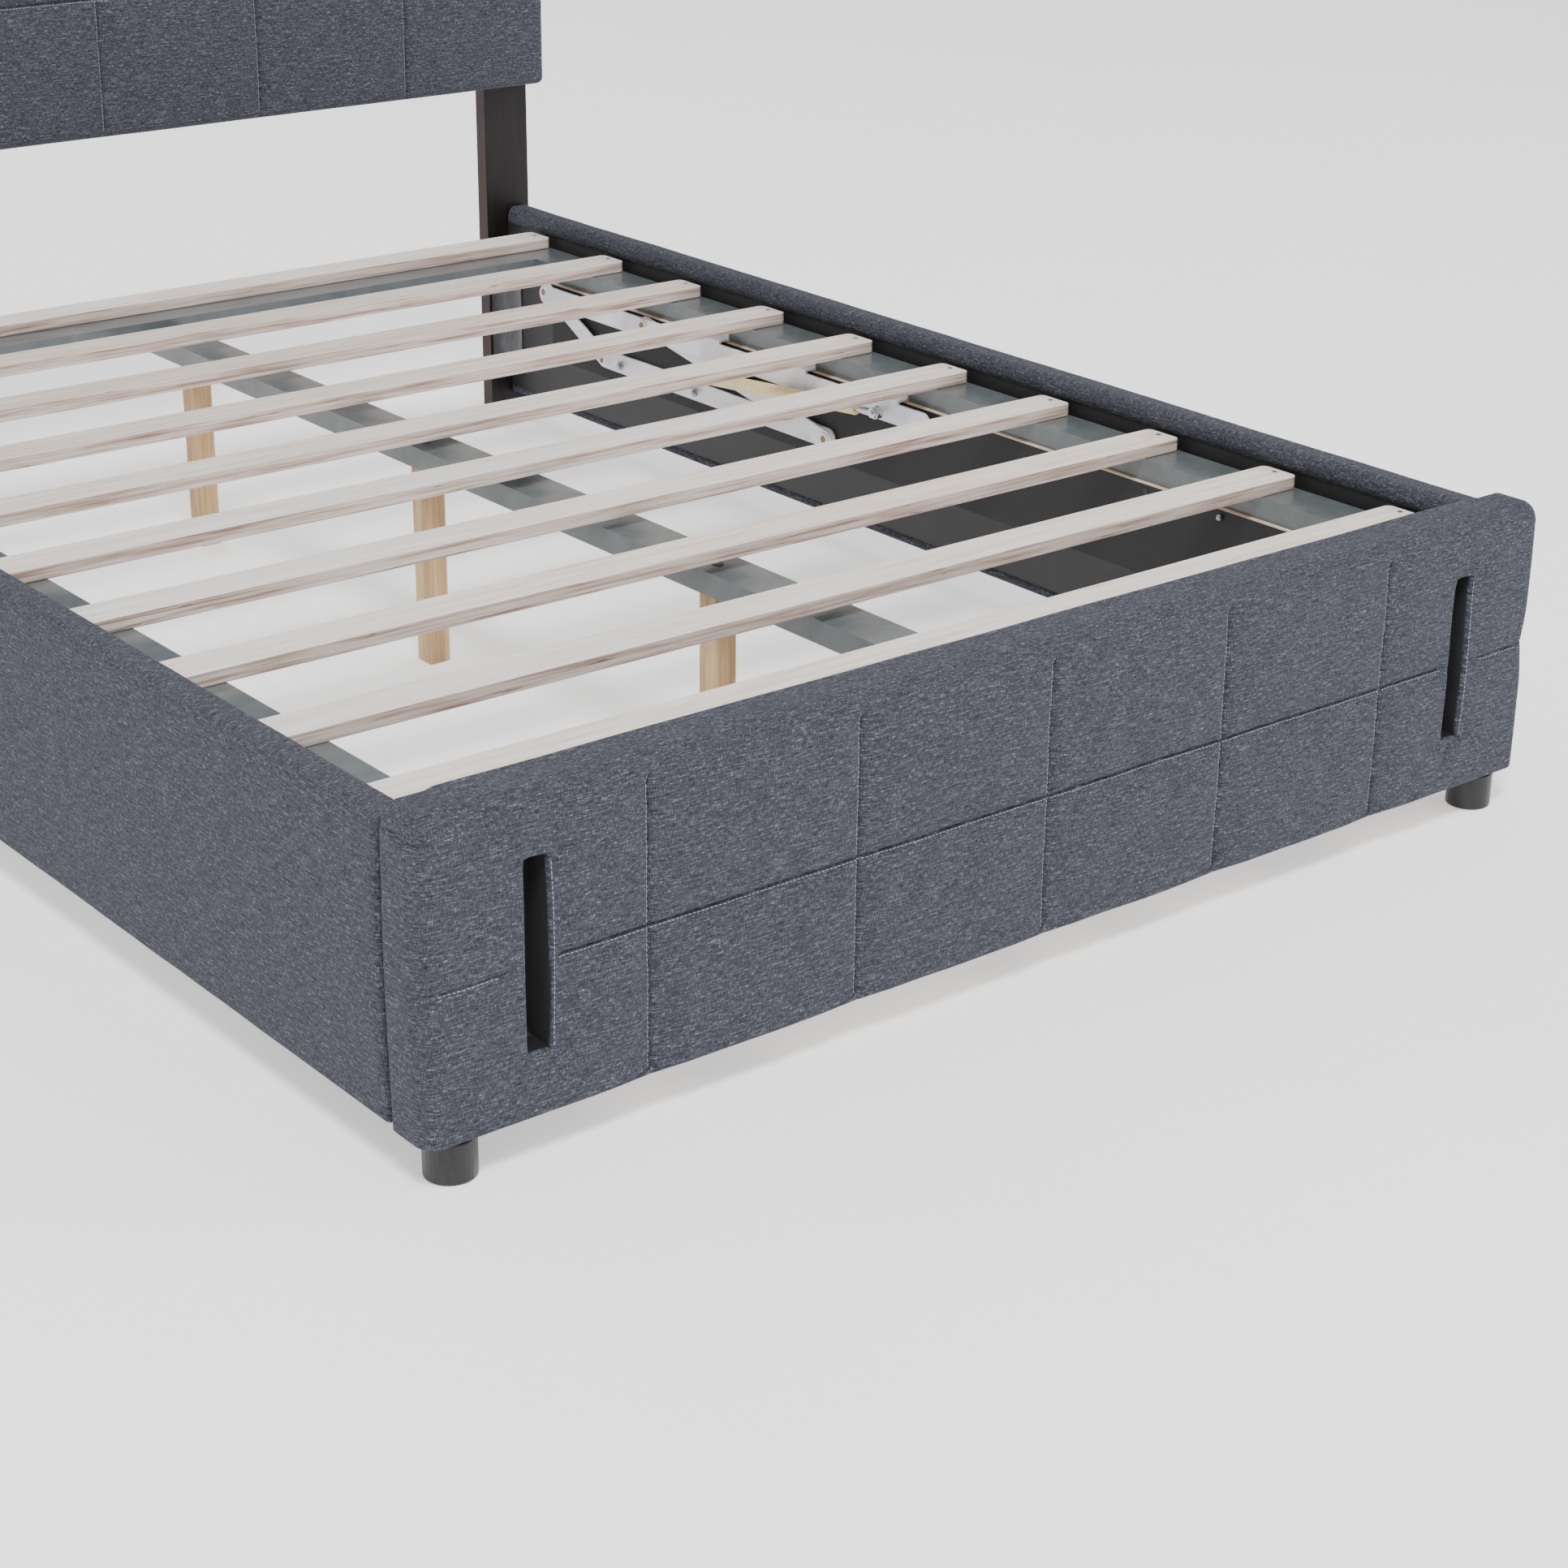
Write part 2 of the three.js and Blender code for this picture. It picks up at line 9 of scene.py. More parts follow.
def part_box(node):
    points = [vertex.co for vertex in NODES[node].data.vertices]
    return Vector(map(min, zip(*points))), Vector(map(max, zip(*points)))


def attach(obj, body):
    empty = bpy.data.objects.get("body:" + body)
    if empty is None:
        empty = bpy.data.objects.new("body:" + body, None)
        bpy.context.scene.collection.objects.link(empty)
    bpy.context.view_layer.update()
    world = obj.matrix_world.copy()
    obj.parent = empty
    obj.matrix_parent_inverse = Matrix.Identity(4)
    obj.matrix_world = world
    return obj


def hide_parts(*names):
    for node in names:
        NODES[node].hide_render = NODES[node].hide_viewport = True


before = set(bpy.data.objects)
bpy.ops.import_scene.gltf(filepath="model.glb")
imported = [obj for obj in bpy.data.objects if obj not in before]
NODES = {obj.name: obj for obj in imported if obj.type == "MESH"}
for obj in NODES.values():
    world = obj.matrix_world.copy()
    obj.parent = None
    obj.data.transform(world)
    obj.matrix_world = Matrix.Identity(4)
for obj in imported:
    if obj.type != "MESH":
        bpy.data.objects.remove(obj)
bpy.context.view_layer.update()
MM = 0.001

# ---------------------------------------------------------------- sizes, in metres
CELL = 8 * MM  # about how far apart the footboard's grid lines are
FOLD_WIDTH = 2.8 * MM  # how far a seam's sharp fold reaches
HOLLOW_WIDTH = 28 * MM  # how far the wide hollow round it reaches
UPRIGHT_FOLD, UPRIGHT_HOLLOW = 7.0 * MM, 5.0 * MM  # depths at the upright seams
LEVEL_FOLD = 6.6 * MM  # depth of the fold at the level seams
PUCKER = 1.3 * MM  # unevenness beside the seams
STITCH = {"pitch": 5.4 * MM, "length": 3.7 * MM, "width": 1.0 * MM, "beside": 2.4 * MM}
SEAM_OFFSETS = (0.0011, 0.0024, 0.0042, 0.0068, 0.0105)  # grid lines either side of a seam
FLAP = 27 * MM  # how far the side rail's cloth laps down inside
SLAT_COUNT, LEG_COUNT = 10, 3
SLAT_SCREW_INSET = 0.013
LEDGER_PEG = (0.417, 0.297)  # from the footboard face, and height
LEDGER_HOLES = ((0.307, 0.297), (0.557, 0.297))
BASE_BOLTS = (0.325, 0.526)  # behind the front link's lower pivot
HALF_LINK, EYE = 13 * MM, 10 * MM  # half a link's width, and half the strut's eye
FLOOR_SIZE, FLOOR_DROP = 160, 0.5 * MM


def corners(node):
    """The lowest and highest corner of a CAD node, as two numpy arrays."""
    low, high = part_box(node)
    return np.array(low), np.array(high)


# ---------------------------------------------------------------- camera and light
def place_camera():
    yaw, pitch, roll = (math.radians(a) for a in (38.87, 22.82, 0.63))
    forward = Vector(
        (math.sin(yaw) * math.cos(pitch), math.cos(yaw) * math.cos(pitch), -math.sin(pitch))
    )
    level = Vector((math.cos(yaw), -math.sin(yaw), 0))
    upright = level.cross(forward)
    right = level * math.cos(roll) + upright * math.sin(roll)
    up = upright * math.cos(roll) - level * math.sin(roll)
    data = bpy.data.cameras.new("camera")
    data.sensor_width = 36
    data.lens = 70.53
    data.clip_end = 400
    camera = bpy.data.objects.new("camera", data)
    turn = Matrix((right, up, -forward)).transposed().to_4x4()
    camera.matrix_world = Matrix.Translation((-2.1765, -3.3495, 1.5336)) @ turn
    bpy.context.scene.collection.objects.link(camera)
    bpy.context.scene.camera = camera


def soft_light(name, place, aim, size, power, colour=(1, 1, 1)):
    data = bpy.data.lights.new(name, "AREA")
    data.shape = "DISK"
    data.size = size
    data.energy = power
    data.color = colour
    lamp = bpy.data.objects.new(name, data)
    direction = Vector(aim) - Vector(place)
    lamp.matrix_world = Matrix.Translation(place) @ direction.to_track_quat("-Z", "Y").to_matrix().to_4x4()
    bpy.context.scene.collection.objects.link(lamp)


def studio():
    world = bpy.data.worlds.new("studio")
    world.use_nodes = True
    world.node_tree.nodes["Background"].inputs["Color"].default_value = (1, 1, 1, 1)
    world.node_tree.nodes["Background"].inputs["Strength"].default_value = 0.8
    bpy.context.scene.world = world
    soft_light("key", (-2.4, -4.2, 7.4), (0, 0, 0.3), 2.2, 600)
    soft_light("side", (6.0, -4.0, 4.0), (0.4, -0.4, 0.3), 3.0, 150)
    soft_light("head_side", (0.5, 6.0, 5.4), (0, 0.3, 0.4), 3.0, 120)


# ---------------------------------------------------------------- shader building
class Value:
    """A shader number that works in sums; each operation adds its Math node."""

    def __init__(self, finish, socket):
        self.finish = finish
        self.socket = socket

    def maths(self, operation, first, second=None):
        values = [first] if second is None else [first, second]
        made = self.finish.node("Math", {"operation": operation}, dict(enumerate(values)))
        return Value(self.finish, made.outputs[0])

    def __add__(self, other):
        return self.maths("ADD", self, other)

    __radd__ = __add__

    def __mul__(self, other):
        return self.maths("MULTIPLY", self, other)

    __rmul__ = __mul__

    def __sub__(self, other):
        return self.maths("SUBTRACT", self, other)

    def __rsub__(self, other):
        return self.maths("SUBTRACT", other, self)

    def __gt__(self, other):
        return self.maths("GREATER_THAN", self, other)

    def __abs__(self):
        return self.maths("ABSOLUTE", self)


class Finish:
    """One procedural material and the nodes that make it."""

    def __init__(self, name, roughness=0.5, **constants):
        self.material = bpy.data.materials.new(name)
        self.material.use_nodes = True
        self.tree = self.material.node_tree
        self.shader = self.tree.nodes["Principled BSDF"]
        self.shader.inputs["Roughness"].default_value = roughness
        for socket, value in constants.items():
            self.shader.inputs[socket.replace("_", " ").title().replace("Ior", "IOR")].default_value = value

    def node(self, kind, settings=None, values=None):
        made = self.tree.nodes.new("ShaderNode" + kind)
        for name, value in (settings or {}).items():
            if name == "stops":
                ramp = made.color_ramp
                while len(ramp.elements) < len(value):
                    ramp.elements.new(0.5)
                for element, (place, colour) in zip(ramp.elements, value):
                    element.position = place
                    element.color = (*colour, 1)
            else:
                setattr(made, name, value)
        for name, value in (values or {}).items():
            socket = made.inputs[name]
            source = value.socket if isinstance(value, Value) else value
            if isinstance(source, bpy.types.NodeSocket):
                self.tree.links.new(source, socket)
            else:
                socket.default_value = source
        return made

    def place(self, scale=(1, 1, 1), source="Object"):
        coordinates = self.node("TexCoord").outputs[source]
        return self.node("Mapping", None, {"Vector": coordinates, "Scale": scale}).outputs[0]

    def noise(self, scale, stretch=(1, 1, 1), detail=2.0, rough=0.5, source="Object"):
        values = {
            "Vector": self.place(stretch, source), "Scale": scale, "Detail": detail, "Roughness": rough,
        }
        return Value(self, self.node("TexNoise", None, values).outputs["Fac"])

    def axis(self, letter, source="Object"):
        parts = self.node("SeparateXYZ", None, {0: self.node("TexCoord").outputs[source]})
        return Value(self, parts.outputs[letter])

    def ramp(self, value, stops):
        return self.node("ValToRGB", {"stops": stops}, {0: value}).outputs["Color"]

    def mix(self, factor, first, second):
        made = self.node("Mix", {"data_type": "RGBA"}, {0: factor, 6: first, 7: second})
        return made.outputs[2]

    def colour(self, source):
        self.tree.links.new(source, self.shader.inputs["Base Color"])

    def rough(self, value):
        self.tree.links.new(value.socket, self.shader.inputs["Roughness"])

    def bump(self, height, strength, distance):
        made = self.node(
            "Bump", None, {"Height": height, "Strength": strength, "Distance": distance}
        )
        self.tree.links.new(made.outputs[0], self.shader.inputs["Normal"])


def rgb(red, green, blue):
    """Screen colour, 0 to 255, as the linear colour the shader wants, with alpha."""
    channel = [c / 255 for c in (red, green, blue)]
    linear = [c / 12.92 if c < 0.04045 else ((c + 0.055) / 1.055) ** 2.4 for c in channel]
    return (*linear, 1.0)


def stop(place, *colour):
    return (place, rgb(*colour)[:3])


# ---------------------------------------------------------------- finishes
def linen():
    """Heathered linen-look weave; its cloth map is in metres along the threads."""
    f = Finish("slate_linen", 0.95, sheen_weight=0.04, specular_ior_level=0.25)
    weft = f.noise(780, (0.18, 1, 1), 3, 0.65, "UV")
    warp = f.noise(780, (1, 0.2, 1), 3, 0.65, "UV")
    slub = f.noise(420, (0.09, 1, 1), 2, 0.6, "UV")
    blotch = f.noise(24, (1, 1, 1), 4, 0.6, "UV")
    fleck = weft * 0.42 + warp * 0.36 + slub * 0.22
    tone = f.ramp(
        fleck,
        [
            stop(0.39, 28, 29, 35), stop(0.47, 56, 57, 66),
            stop(0.54, 74, 76, 86), stop(0.64, 142, 145, 156),
        ],
    )
    shade = f.ramp(blotch, [stop(0.3, 222, 223, 227), stop(0.7, 255, 255, 255)])
    tinted = f.node(
        "Mix", {"data_type": "RGBA", "blend_type": "MULTIPLY"}, {0: 0.6, 6: tone, 7: shade}
    ).outputs[2]
    f.colour(tinted)
    f.bump(weft + warp, 0.6, 0.0009)
    return f.material


def dust_cloth():
    """Black felted cloth, a little uneven."""
    f = Finish("black_dust_cloth", 0.5, sheen_weight=0.05)
    fibres = f.noise(500, (1, 1, 1), 4, 0.7)
    quilt = f.noise(9, (1, 1, 1.6), 2, 0.5)
    f.colour(f.ramp(fibres * 0.6 + quilt * 0.4, [stop(0.3, 15, 15, 17), stop(0.7, 38, 38, 41)]))
    f.bump(fibres * 0.3 + quilt, 0.35, 0.002)
    return f.material


def slat_plywood():
    """Pale face veneer on the broad faces, thin glued layers along the edges."""
    f = Finish("slat_plywood", 0.62)
    grain = f.noise(60, (0.1, 1.6, 1), 5, 0.62)
    pores = f.noise(420, (0.05, 1, 1), 2, 0.5)
    board = f.noise(2.3, (0.15, 1, 1), 1, 0.5)
    pale = f.ramp(
        grain * 0.75 + pores * 0.25,
        [stop(0.34, 214, 204, 195), stop(0.5, 228, 222, 216), stop(0.66, 238, 235, 232)],
    )
    warm = f.ramp(
        grain * 0.75 + pores * 0.25,
        [stop(0.34, 212, 191, 174), stop(0.5, 227, 212, 199), stop(0.66, 236, 226, 218)],
    )
    face = f.mix(board * 3.2 - 1.1, pale, warm)
    layers = f.noise(230, (0.03, 1, 1), 3, 0.55)
    edge = f.ramp(
        layers,
        [
            stop(0.32, 146, 116, 102), stop(0.43, 186, 162, 150),
            stop(0.55, 208, 192, 182), stop(0.7, 220, 210, 203),
        ],
    )
    gap = (f.noise(300, (0.06, 1, 1), 1, 0.5) > 0.76) * 0.7
    split = f.mix(gap, edge, rgb(62, 40, 34))
    up = abs(f.axis("Z", "Normal")) > 0.7
    f.colour(f.mix(up, split, face))
    f.bump(grain * 0.5 + layers * 0.5, 0.3, 0.0008)
    return f.material


def raw_plywood():
    """Bare plywood with its grain along the bed."""
    f = Finish("raw_plywood", 0.7)
    grain = f.noise(45, (1, 0.12, 1), 5, 0.6)
    f.colour(f.ramp(grain, [stop(0.32, 190, 158, 126), stop(0.55, 214, 188, 158), stop(0.72, 226, 204, 178)]))
    f.bump(grain, 0.25, 0.001)
    return f.material


def ledger_finish():
    """Black cloth on the board's faces; its top edge is left raw."""
    f = Finish("ledger_cloth_and_edge", 0.72)
    raw_edge = 1.2 * MM
    _, high = corners("ledger_board_right")
    fibres = f.noise(500, (1, 1, 1), 4, 0.7)
    cloth = f.ramp(fibres, [stop(0.3, 15, 15, 17), stop(0.7, 36, 36, 39)])
    grain = f.noise(60, (1, 0.1, 1), 4, 0.6)
    wood = f.ramp(grain, [stop(0.35, 196, 168, 140), stop(0.6, 226, 206, 182)])
    f.colour(f.mix(f.axis("Z") > float(high[2]) - raw_edge, cloth, wood))
    f.bump(fibres, 0.3, 0.001)
    return f.material


def leg_pine():
    """Pine with its grain upright."""
    f = Finish("leg_pine", 0.6)
    rings = f.noise(34, (1.3, 1.3, 0.1), 4, 0.6)
    streak = f.noise(240, (1, 1, 0.03), 2, 0.5)
    f.colour(
        f.ramp(
            rings * 0.7 + streak * 0.3,
            [stop(0.3, 146, 108, 70), stop(0.5, 190, 156, 112), stop(0.68, 220, 192, 150)],
        )
    )
    f.bump(rings * 0.6 + streak * 0.4, 0.3, 0.001)
    return f.material


def stained_plywood():
    """Near-black stain on the faces, with reddish layers on the inner and outer edges."""
    f = Finish("stained_plywood", 0.5, specular_ior_level=0.3)
    grain = f.noise(70, (1, 1, 0.08), 4, 0.6)
    face = f.ramp(grain, [stop(0.3, 15, 10, 11), stop(0.7, 28, 21, 22)])
    layers = Value(
        f, f.node("Math", {"operation": "FRACT"}, {0: f.axis("Y") * 320 + grain * 0.8}).outputs[0]
    )
    edge = f.ramp(layers, [stop(0.1, 30, 20, 19), stop(0.5, 66, 42, 38), stop(0.9, 34, 23, 22)])
    f.colour(f.mix(abs(f.axis("X", "Normal")) > 0.7, face, edge))
    f.bump(grain, 0.2, 0.0008)
    return f.material


def frame_paint():
    """Smooth grey paint with faint scuffs."""
    f = Finish("grey_frame_paint", 0.25, coat_weight=0.2)
    peel = f.noise(700, (1, 1, 1), 2, 0.5)
    scuff = f.noise(18, (1, 1, 1), 5, 0.65)
    f.colour(f.ramp(scuff, [stop(0.3, 82, 89, 90), stop(0.55, 92, 99, 101), stop(0.75, 101, 108, 110)]))
    f.rough(scuff * 0.2 + 0.14)
    f.bump(peel, 0.12, 0.0004)
    return f.material


def white_powder():
    """White powder coat with a fine orange peel."""
    f = Finish("white_powder_coat", 0.38)
    peel = f.noise(900, (1, 1, 1), 2, 0.5)
    wear = f.noise(30, (1, 1, 1), 5, 0.7)
    f.colour(f.ramp(wear, [stop(0.25, 196, 196, 206), stop(0.45, 222, 222, 230), stop(0.8, 236, 236, 242)]))
    f.bump(peel, 0.2, 0.0004)
    return f.material


def bright_metal(name, colour, roughness):
    """Brushed bare metal."""
    f = Finish(name, roughness, metallic=1.0)
    brushed = f.noise(300, (1, 1, 0.2), 3, 0.6)
    f.colour(f.ramp(brushed, [stop(0.3, *[c * 0.82 for c in colour]), stop(0.7, *colour)]))
    f.rough(brushed * 0.15 + roughness)
    return f.material


def moulded(name, dark, light, roughness):
    """Moulded plastic or rubber with a faint mottle."""
    f = Finish(name, roughness)
    mottle = f.noise(160, (1, 1, 1), 3, 0.6)
    f.colour(f.ramp(mottle, [stop(0.3, *dark), stop(0.7, *light)]))
    f.bump(mottle, 0.15, 0.0006)
    return f.material


def thread():
    f = Finish("pale_thread", 0.8)
    twist = f.noise(1500, (1, 1, 1), 2, 0.5)
    f.colour(f.ramp(twist, [stop(0.3, 128, 131, 140), stop(0.7, 178, 181, 189)]))
    return f.material


# ---------------------------------------------------------------- helpers for meshes
def deselect():
    if bpy.context.object and bpy.context.object.mode != "OBJECT":
        bpy.ops.object.mode_set(mode="OBJECT")
    bpy.ops.object.select_all(action="DESELECT")


def keep(piece, name, material, body):
    """Names a finished piece, gives it its material and lets it ride on its body."""
    piece.name = name
    piece.data.name = name
    if not piece.data.materials:
        piece.data.materials.append(material)
    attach(piece, body)
    return piece


def settle(piece):
    """Puts a piece's place, turn and size into its mesh."""
    deselect()
    piece.select_set(True)
    bpy.context.view_layer.objects.active = piece
    bpy.ops.object.transform_apply(location=True, rotation=True, scale=True)


def modify(piece, kind, **settings):
    deselect()
    bpy.context.view_layer.objects.active = piece
    piece.select_set(True)
    made = piece.modifiers.new(kind.lower(), kind)
    for name, value in settings.items():
        setattr(made, name, value)
    bpy.ops.object.modifier_apply(modifier=made.name)


def merge(pieces):
    deselect()
    for piece in pieces:
        piece.select_set(True)
    bpy.context.view_layer.objects.active = pieces[0]
    bpy.ops.object.join()
    return pieces[0]


def twin(piece, shift=(0, 0, 0), mirror=False):
    """A copy with its own mesh, moved, or mirrored to the other side of the bed."""
    copy = piece.copy()
    copy.data = piece.data.copy()
    bpy.context.scene.collection.objects.link(copy)
    if mirror:
        copy.scale.x = -1
        settle(copy)
        bpy.ops.object.mode_set(mode="EDIT")
        bpy.ops.mesh.select_all(action="SELECT")
        bpy.ops.mesh.normals_make_consistent(inside=False)
        bpy.ops.object.mode_set(mode="OBJECT")
    else:
        copy.location = shift
        settle(copy)
    return copy


def solid(name, points, faces):
    """A new object made of the given points and faces."""
    mesh = bpy.data.meshes.new(name)
    mesh.from_pydata(points, [], faces)
    mesh.update()
    piece = bpy.data.objects.new(name, mesh)
    bpy.context.scene.collection.objects.link(piece)
    return piece


# ---------------------------------------------------------------- padded blocks
def lines_between(low, high, cell, round_low, round_high, seams=(), offsets=(), extra=()):
    """Grid lines from low to high: close together in the round edges and at the seams."""
    steps = (0, 0.12, 0.28, 0.46, 0.64, 0.82, 1)
    lines = [low + round_low * s for s in steps]
    lines += [high - round_high * s for s in steps]
    inner_low, inner_high = low + round_low, high - round_high
    fine = []
    for seam in seams:
        fine.append(seam)
        fine += [seam + side * o for o in offsets for side in (-1, 1)]
    fine += list(extra)
    fine = [v for v in fine if inner_low < v < inner_high]
    count = max(1, round((inner_high - inner_low) / cell))
    for k in range(1, count):
        v = inner_low + (inner_high - inner_low) * k / count
        if all(abs(v - other) > 0.45 * cell for other in fine):
            fine.append(v)
    lines = sorted(lines + fine)
    kept = [lines[0]]
    for v in lines[1:]:
        if v - kept[-1] > 0.00025:
            kept.append(v)
    kept[-1] = high
    return np.array(kept)


class Pad:
    """A padded block: a box skin with round edges whose surface a rule pushes in and out."""

    def __init__(self, low, high, rounds, rule):
        self.low, self.high = np.array(low), np.array(high)
        self.rounds = np.array(rounds)  # [[low x, high x], [low y, high y], [low z, high z]]
        self.rule = rule

    def skin(self, points):
        """Where points of the plain box end up on the padded block, and the way out there."""
        low_core = self.low + self.rounds[:, 0]
        high_core = self.high - self.rounds[:, 1]
        core = np.clip(points, low_core, high_core)
        reach = points - core
        radius = np.where(reach < 0, self.rounds[:, 0], self.rounds[:, 1])
        way = reach / radius
        way /= np.maximum(np.linalg.norm(way, axis=1, keepdims=True), 1e-9)
        placed = core + way * radius
        out = way / radius
        out /= np.maximum(np.linalg.norm(out, axis=1, keepdims=True), 1e-9)
        return placed + self.rule(placed, out), out

    def mesh(self, name, xs, ys, zs):
        """The block as a mesh, with a cloth map in metres along its faces."""
        lines = (xs, ys, zs)
        counts = [len(line) for line in lines]
        number = {}
        points, faces, maps = [], [], []

        def corner(index):
            if index not in number:
                number[index] = len(points)
                points.append([lines[a][index[a]] for a in range(3)])
            return number[index]

        # (fixed axis, at its high end, first axis, second axis) with the faces turned out
        sides = [
            (1, False, 0, 2), (1, True, 2, 0), (0, False, 2, 1),
            (0, True, 1, 2), (2, True, 0, 1), (2, False, 1, 0),
        ]
        for fixed, high, first, second in sides:
            across, along = (first, second) if second == 2 or first != 2 else (second, first)
            for i in range(counts[first] - 1):
                for j in range(counts[second] - 1):
                    ring = []
                    for di, dj in ((0, 0), (1, 0), (1, 1), (0, 1)):
                        index = [0, 0, 0]
                        index[fixed] = counts[fixed] - 1 if high else 0
                        index[first] = i + di
                        index[second] = j + dj
                        ring.append(tuple(index))
                    faces.append([corner(index) for index in ring])
                    for index in ring:
                        maps.append((lines[across][index[across]], lines[along][index[along]] + 0.37 * fixed))
        placed, _ = self.skin(np.array(points))
        piece = solid(name, placed.tolist(), faces)
        layer = piece.data.uv_layers.new(name="cloth")
        layer.data.foreach_set("uv", np.array(maps, dtype=np.float32).ravel())
        piece.data.polygons.foreach_set("use_smooth", [True] * len(piece.data.polygons))
        return piece


def creases(across, seams, fold, hollow):
    """How deep the nearest seam pulls the surface in: a sharp fold in a wide hollow."""
    depth = np.zeros_like(across)
    for seam in seams:
        distance = np.abs(across - seam)
        near = fold * np.exp(-distance / FOLD_WIDTH) + hollow * np.exp(-((distance / HOLLOW_WIDTH) ** 2))
        depth = np.maximum(depth, near)
    return depth


def ripple(points, scale, seed):
    """Smooth unevenness, about -1 to 1, the same on every run."""
    shift = Vector((seed * 7.31, seed * 3.17, seed * 5.71))
    return np.array([noise.noise(Vector(p) * scale + shift) for p in points])


def smooth_step(value, start, end):
    t = np.clip((value - start) / (end - start), 0, 1)
    return t * t * (3 - 2 * t)


def stitch_rows(name, pad, runs):
    """Separate thread stitches along straight runs on a padded block's skin."""
    pitch, length, width = STITCH["pitch"], STITCH["length"], STITCH["width"]
    deselect()
    bpy.ops.mesh.primitive_cylinder_add(vertices=6, radius=0.5, depth=1)
    seed = bpy.context.object
    bpy.ops.object.mode_set(mode="EDIT")
    bpy.ops.mesh.select_all(action="SELECT")
    bpy.ops.mesh.bevel(offset=0.18, segments=1)
    bpy.ops.object.mode_set(mode="OBJECT")
    shape = np.array([v.co[:] for v in seed.data.vertices])
    rings = [list(p.vertices) for p in seed.data.polygons]
    bpy.data.objects.remove(seed)
    points, faces = [], []
    for start, end in runs:
        start, end = np.array(start), np.array(end)
        span = np.linalg.norm(end - start)
        count = int(span / pitch)
        ahead = (end - start) / span
        middles = start + np.outer((np.arange(count) + 0.5) * pitch, ahead)
        places, outs = pad.skin(middles)
        onward, _ = pad.skin(middles + ahead * 0.002)
        for place, nextward, out in zip(places, onward, outs):
            along = nextward - place
            along /= np.linalg.norm(along)
            side = np.cross(out, along)
            side /= np.linalg.norm(side)
            lift = np.cross(along, side)
            basis = np.array([side * width, lift * width * 0.8, along * length])
            base = len(points)
            points.extend((place + lift * width * 0.15 + shape @ basis).tolist())
            faces.extend([[base + v for v in ring] for ring in rings])
    piece = solid(name, points, faces)
    keep(piece, name, THREAD, "bed_frame")


# ---------------------------------------------------------------- upholstery
def slot_pull(x, z, slot, edges):
    """How a slot draws the cloth round it: a rolled lip, folds at its ends and the pocket."""
    middle, half = slot
    bottom, top = edges
    off = x - middle
    gap_x = np.abs(off) - half
    gap_z = np.maximum(bottom - z, z - top)
    outside = np.hypot(np.maximum(gap_x, 0), np.maximum(gap_z, 0))
    lip = 6.0 * MM
    depth = lip - np.sqrt(np.maximum(lip**2 - np.clip(lip - outside, 0, lip) ** 2, 0))
    depth += 2.6 * MM * np.exp(-((outside / 0.022) ** 2))
    for corner_z, way in ((top, 1), (bottom, -1)):
        for corner_x, lean, height in ((half, 0.62, 4.2 * MM), (-half, -0.35, 2.4 * MM)):
            du, dv = off - corner_x, (z - corner_z) * way
            length = math.hypot(lean, 1)
            ahead = (du * lean + dv) / length
            aside = (du - dv * lean) / length
            fade = np.exp(-np.abs(ahead - 0.008) / 0.016) * (ahead > -0.004)
            depth -= height * np.exp(-((aside / 0.006) ** 2)) * fade
            depth += 0.8 * height * np.exp(-(((aside - 0.012) / 0.006) ** 2)) * fade
    sunk = np.minimum(-gap_x, -gap_z)
    wall = np.interp(sunk, (0.05 * MM, 0.3 * MM, 0.6 * MM, 0.9 * MM), (lip, 0.018, 0.032, 0.046))
    return np.where(sunk > 0.02 * MM, wall, depth)


